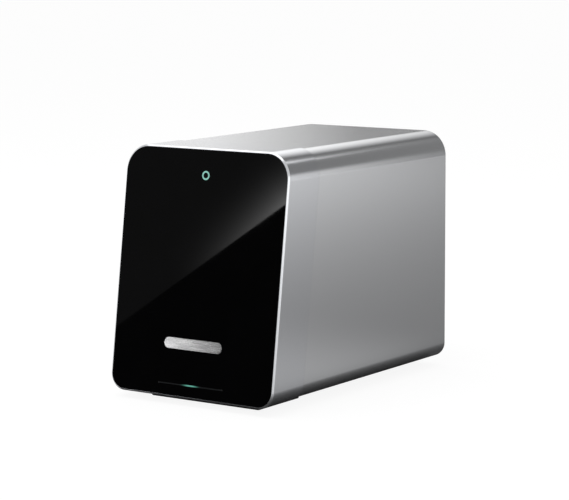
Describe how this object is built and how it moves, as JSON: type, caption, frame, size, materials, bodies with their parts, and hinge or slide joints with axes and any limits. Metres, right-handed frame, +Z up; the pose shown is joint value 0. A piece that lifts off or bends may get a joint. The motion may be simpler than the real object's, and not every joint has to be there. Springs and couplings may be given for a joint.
{
  "type": "phosphor plate scanner",
  "caption": "Small desktop scanner for phosphor imaging plates, with a raked gloss front panel, a lit ring and a motor-driven plate drawer in a satin metal case.",
  "frame": {"origin": "on the table, under the middle of the body's width and depth", "axes": "+Z up, the raked front panel faces -Y, +X is to the right seen from the front"},
  "size_m": [0.122, 0.1989, 0.1546],
  "materials": {
    "satin_aluminium": "satin anodised, natural silver",
    "brushed_aluminium": "brushed along its length, natural silver",
    "black_panel": "polished black",
    "teal_window": "frosted, lit from behind",
    "smoke_window": "smoked, lit at its middle",
    "black_rubber": "matt",
    "black_plastic": "fine matt grain",
    "white_plastic": "matt",
    "black_tape": "foam adhesive",
    "dark_panel": "fine black powder coat",
    "bare_aluminium": "milled",
    "black_aluminium": "black anodised",
    "zinc_steel": "zinc plated",
    "polished_steel": "ground and polished",
    "brass": "turned",
    "green_board": "solder resist",
    "clear_glass": "polished",
    "mirror_coat": "front-coated mirror"
  },
  "bodies": {
    "case": {"front_bezel": "satin_aluminium", "joining_frame": "satin_aluminium", "front_panel": "black_panel", "panel_tape": "black_tape", "ring_window": "teal_window", "ring_light_block": "white_plastic", "indicator_board": "green_board", "bar_window": "smoke_window", "bar_light_board": "green_board", "slot_seal": "black_rubber", "housing_sleeve": "satin_aluminium", "bezel_screws": "zinc_steel", "rear_panel": "dark_panel", "rear_panel_screws": "zinc_steel", "dc_inlet": "black_plastic", "usb_socket": "zinc_steel", "usb_tongue": "white_plastic", "switch_housing": "black_plastic", "front_foot": "black_rubber", "rear_foot": "black_rubber", "foot_screws": "zinc_steel", "chassis_base": "bare_aluminium", "screw_bush": "brass", "stepper_motor": "black_aluminium", "motor_screws": "zinc_steel", "guide_rods": "polished_steel", "front_bearer": "bare_aluminium", "rear_bearer": "bare_aluminium", "bearer_screws": "zinc_steel", "deck_posts": "brass", "optics_deck": "bare_aluminium", "deck_screws": "zinc_steel", "wheel_motor": "black_aluminium", "laser_module": "brass", "laser_clamp": "black_aluminium", "scan_lens": "clear_glass", "lens_mount": "black_aluminium", "fold_mirror": "mirror_coat", "mirror_bracket": "black_aluminium", "light_guide": "clear_glass", "photomultiplier": "zinc_steel", "tube_saddles": "black_aluminium", "erase_board": "white_plastic", "erase_lamps": "white_plastic", "tube_supply": "zinc_steel", "board_bracket": "bare_aluminium", "main_board": "green_board", "board_spacers": "brass", "board_chips": "black_plastic"},
    "drawer": {"drawer_front": "brushed_aluminium", "plate_tray": "black_plastic", "tray_magnets": "polished_steel", "tray_screws": "zinc_steel", "carriage": "bare_aluminium", "carriage_bushes": "brass", "screw_nut": "brass"},
    "drive_screw": {"lead_screw": "polished_steel"},
    "scan_wheel": {"wheel_rotor": "bare_aluminium", "mirror_wheel": "mirror_coat"},
    "rocker": {"power_rocker": "black_plastic"}
  },
  "joints": [
    {"name": "drawer_slide", "type": "slide", "parent": "case", "child": "drawer", "axis": [0, -1, 0], "range_m": [-0.045, 0.056]},
    {"name": "screw_turn", "type": "hinge", "parent": "case", "child": "drive_screw", "pos_m": [0, 0, 0.0242], "axis": [0, -1, 0], "range_deg": [-2030, 2525]},
    {"name": "wheel_spin", "type": "hinge", "parent": "case", "child": "scan_wheel", "pos_m": [0, 0.0185, 0.0808], "axis": [0, 0, 1], "continuous": true},
    {"name": "rocker_tilt", "type": "hinge", "parent": "case", "child": "rocker", "pos_m": [-0.03, 0.09, 0.0446], "axis": [-1, 0, 0], "range_deg": [0, 16]}
  ],
  "couplings": [
    {"joint": "screw_turn", "follows": "drawer_slide", "rad_per_m": 785.4}
  ]
}
